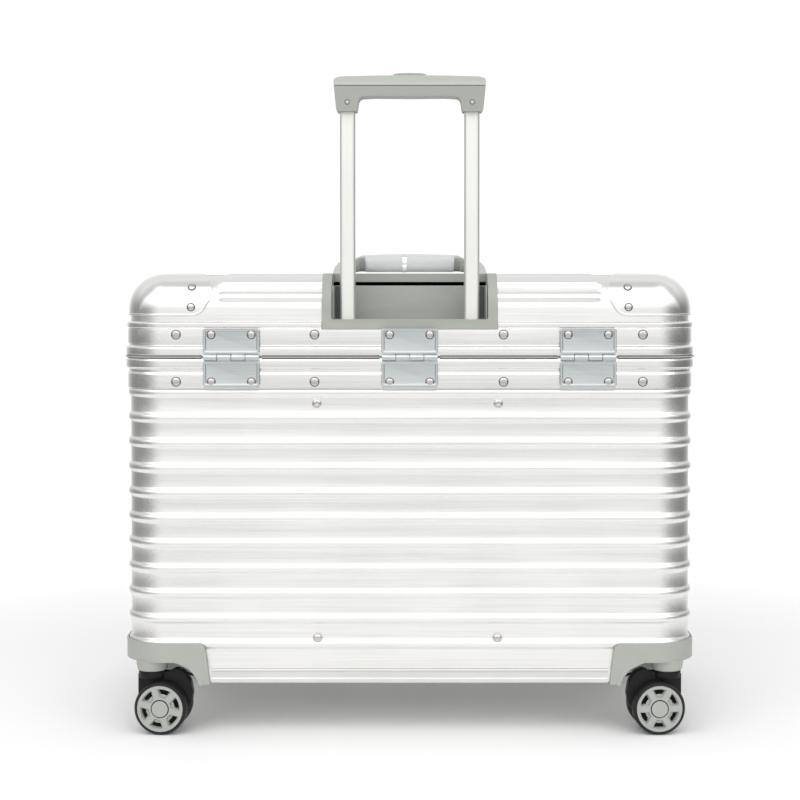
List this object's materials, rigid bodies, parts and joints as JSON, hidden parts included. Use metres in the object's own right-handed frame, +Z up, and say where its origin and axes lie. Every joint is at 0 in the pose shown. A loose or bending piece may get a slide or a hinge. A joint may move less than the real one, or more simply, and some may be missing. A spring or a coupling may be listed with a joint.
{
  "type": "wheeled aluminium pilot case",
  "caption": "Ribbed hard-shell trolley case opening at the top, with hinged lid, telescopic pull handle, folding carry handle and swivelling twin-wheel casters.",
  "frame": {"origin": "on the floor under the middle of the case, wheels standing on it", "axes": "+Z up, -Y the hinge and pull-handle side, +X to the right when that side is faced"},
  "size_m": [0.498, 0.2641, 0.5708],
  "materials": {
    "ribbed_shell": "satin anodised, fine brushed",
    "frame_extrusion": "satin anodised extrusion",
    "polished_cap": "polished pressing",
    "hinge_metal": "satin, slightly bluish",
    "pin_steel": "bright steel",
    "tube_aluminium": "matt anodised, off-white",
    "grey_plastic": "fine moulded texture, warm grey",
    "cover_plastic": "fine moulded texture, dark grey",
    "dark_plastic": "near-black nylon",
    "wheel_rubber": "near-black polyurethane tread",
    "gasket_rubber": "matt grey sealing strip",
    "lining_fabric": "woven polyester lining on board"
  },
  "bodies": {
    "base": {"base_shell": "ribbed_shell", "base_frame": "frame_extrusion", "base_lining": "lining_fabric", "handle_tower": "grey_plastic", "handle_cover": "cover_plastic", "sleeve_left": "pin_steel", "sleeve_right": "pin_steel", "rail_back": "frame_extrusion", "rail_front": "frame_extrusion", "rail_left": "frame_extrusion", "rail_right": "frame_extrusion", "hinge_lower_left": "hinge_metal", "hinge_lower_middle": "hinge_metal", "hinge_lower_right": "hinge_metal", "hinge_pin_left": "pin_steel", "hinge_pin_middle": "pin_steel", "hinge_pin_right": "pin_steel", "lock_case_left": "hinge_metal", "lock_case_right": "hinge_metal", "wheel_guard_back_left": "grey_plastic", "wheel_guard_back_right": "grey_plastic", "wheel_guard_front_left": "grey_plastic", "wheel_guard_front_right": "grey_plastic"},
    "lid": {"lid_shell": "ribbed_shell", "lid_frame": "frame_extrusion", "gasket": "gasket_rubber", "well_bezel": "grey_plastic", "lid_lining": "lining_fabric", "carry_mount_left": "grey_plastic", "carry_mount_right": "grey_plastic", "hinge_upper_left": "hinge_metal", "hinge_upper_middle": "hinge_metal", "hinge_upper_right": "hinge_metal", "latch_plate_left": "hinge_metal", "latch_plate_right": "hinge_metal", "corner_cap_back_left": "polished_cap", "corner_cap_back_right": "polished_cap", "corner_cap_front_left": "polished_cap", "corner_cap_front_right": "polished_cap"},
    "carry_handle": {"carry_handle": "grey_plastic"},
    "pull_handle": {"pull_tube_left": "tube_aluminium", "pull_tube_right": "tube_aluminium", "pull_grip": "grey_plastic"},
    "grip_button": {"grip_button": "grey_plastic"},
    "latch_flap_left": {"latch_flap_left": "polished_cap"},
    "lock_slider_left": {"lock_slider_left": "polished_cap"},
    "latch_flap_right": {"latch_flap_right": "polished_cap"},
    "lock_slider_right": {"lock_slider_right": "polished_cap"},
    "caster_back_left": {"caster_fork_back_left": "dark_plastic"},
    "wheel_back_left_outer": {"wheel_back_left_outer": "wheel_rubber"},
    "wheel_back_left_inner": {"wheel_back_left_inner": "wheel_rubber"},
    "caster_back_right": {"caster_fork_back_right": "dark_plastic"},
    "wheel_back_right_outer": {"wheel_back_right_outer": "wheel_rubber"},
    "wheel_back_right_inner": {"wheel_back_right_inner": "wheel_rubber"},
    "caster_front_left": {"caster_fork_front_left": "dark_plastic"},
    "wheel_front_left_outer": {"wheel_front_left_outer": "wheel_rubber"},
    "wheel_front_left_inner": {"wheel_front_left_inner": "wheel_rubber"},
    "caster_front_right": {"caster_fork_front_right": "dark_plastic"},
    "wheel_front_right_outer": {"wheel_front_right_outer": "wheel_rubber"},
    "wheel_front_right_inner": {"wheel_front_right_inner": "wheel_rubber"}
  },
  "joints": [
    {"name": "lid_hinge", "type": "hinge", "parent": "base", "child": "lid", "pos_m": [0, -0.1293, 0.326], "axis": [1, 0, 0], "range_deg": [0, 20]},
    {"name": "carry_handle_fold", "type": "hinge", "parent": "lid", "child": "carry_handle", "pos_m": [0, 0, 0.4055], "axis": [1, 0, 0], "range_deg": [0, 95]},
    {"name": "pull_handle_slide", "type": "slide", "parent": "base", "child": "pull_handle", "axis": [0, 0, 1], "range_m": [-0.178, 0]},
    {"name": "grip_button_press", "type": "slide", "parent": "pull_handle", "child": "grip_button", "axis": [0, 0, 1], "range_m": [-0.0025, 0], "stiffness_N_per_m": 400, "springref_m": 0.001},
    {"name": "latch_flap_left_turn", "type": "hinge", "parent": "lid", "child": "latch_flap_left", "pos_m": [-0.15, 0.12995, 0.345], "axis": [1, 0, 0], "range_deg": [0, 120]},
    {"name": "lock_slider_left_slide", "type": "slide", "parent": "base", "child": "lock_slider_left", "axis": [1, 0, 0], "range_m": [0, 0.006], "stiffness_N_per_m": 200},
    {"name": "latch_flap_right_turn", "type": "hinge", "parent": "lid", "child": "latch_flap_right", "pos_m": [0.15, 0.12995, 0.345], "axis": [1, 0, 0], "range_deg": [0, 120]},
    {"name": "lock_slider_right_slide", "type": "slide", "parent": "base", "child": "lock_slider_right", "axis": [1, 0, 0], "range_m": [0, 0.006], "stiffness_N_per_m": 200},
    {"name": "caster_back_left_swivel", "type": "hinge", "parent": "base", "child": "caster_back_left", "pos_m": [-0.224, -0.1095, 0.053], "axis": [0, 0, 1], "continuous": true},
    {"name": "wheel_back_left_outer_spin", "type": "hinge", "parent": "caster_back_left", "child": "wheel_back_left_outer", "pos_m": [-0.21403, -0.11028, 0.0227], "axis": [0.0785, 0.9969, 0], "continuous": true},
    {"name": "wheel_back_left_inner_spin", "type": "hinge", "parent": "caster_back_left", "child": "wheel_back_left_inner", "pos_m": [-0.21403, -0.11028, 0.0227], "axis": [0.0785, 0.9969, 0], "continuous": true},
    {"name": "caster_back_right_swivel", "type": "hinge", "parent": "base", "child": "caster_back_right", "pos_m": [0.224, -0.1095, 0.053], "axis": [0, 0, 1], "continuous": true},
    {"name": "wheel_back_right_outer_spin", "type": "hinge", "parent": "caster_back_right", "child": "wheel_back_right_outer", "pos_m": [0.21403, -0.11028, 0.0227], "axis": [-0.0785, 0.9969, 0], "continuous": true},
    {"name": "wheel_back_right_inner_spin", "type": "hinge", "parent": "caster_back_right", "child": "wheel_back_right_inner", "pos_m": [0.21403, -0.11028, 0.0227], "axis": [-0.0785, 0.9969, 0], "continuous": true},
    {"name": "caster_front_left_swivel", "type": "hinge", "parent": "base", "child": "caster_front_left", "pos_m": [-0.224, 0.1095, 0.053], "axis": [0, 0, 1], "continuous": true},
    {"name": "wheel_front_left_outer_spin", "type": "hinge", "parent": "caster_front_left", "child": "wheel_front_left_outer", "pos_m": [-0.21407, 0.11072, 0.0227], "axis": [-0.1219, 0.9925, 0], "continuous": true},
    {"name": "wheel_front_left_inner_spin", "type": "hinge", "parent": "caster_front_left", "child": "wheel_front_left_inner", "pos_m": [-0.21407, 0.11072, 0.0227], "axis": [-0.1219, 0.9925, 0], "continuous": true},
    {"name": "caster_front_right_swivel", "type": "hinge", "parent": "base", "child": "caster_front_right", "pos_m": [0.224, 0.1095, 0.053], "axis": [0, 0, 1], "continuous": true},
    {"name": "wheel_front_right_outer_spin", "type": "hinge", "parent": "caster_front_right", "child": "wheel_front_right_outer", "pos_m": [0.21401, 0.11002, 0.0227], "axis": [0.0523, 0.9986, 0], "continuous": true},
    {"name": "wheel_front_right_inner_spin", "type": "hinge", "parent": "caster_front_right", "child": "wheel_front_right_inner", "pos_m": [0.21401, 0.11002, 0.0227], "axis": [0.0523, 0.9986, 0], "continuous": true}
  ]
}
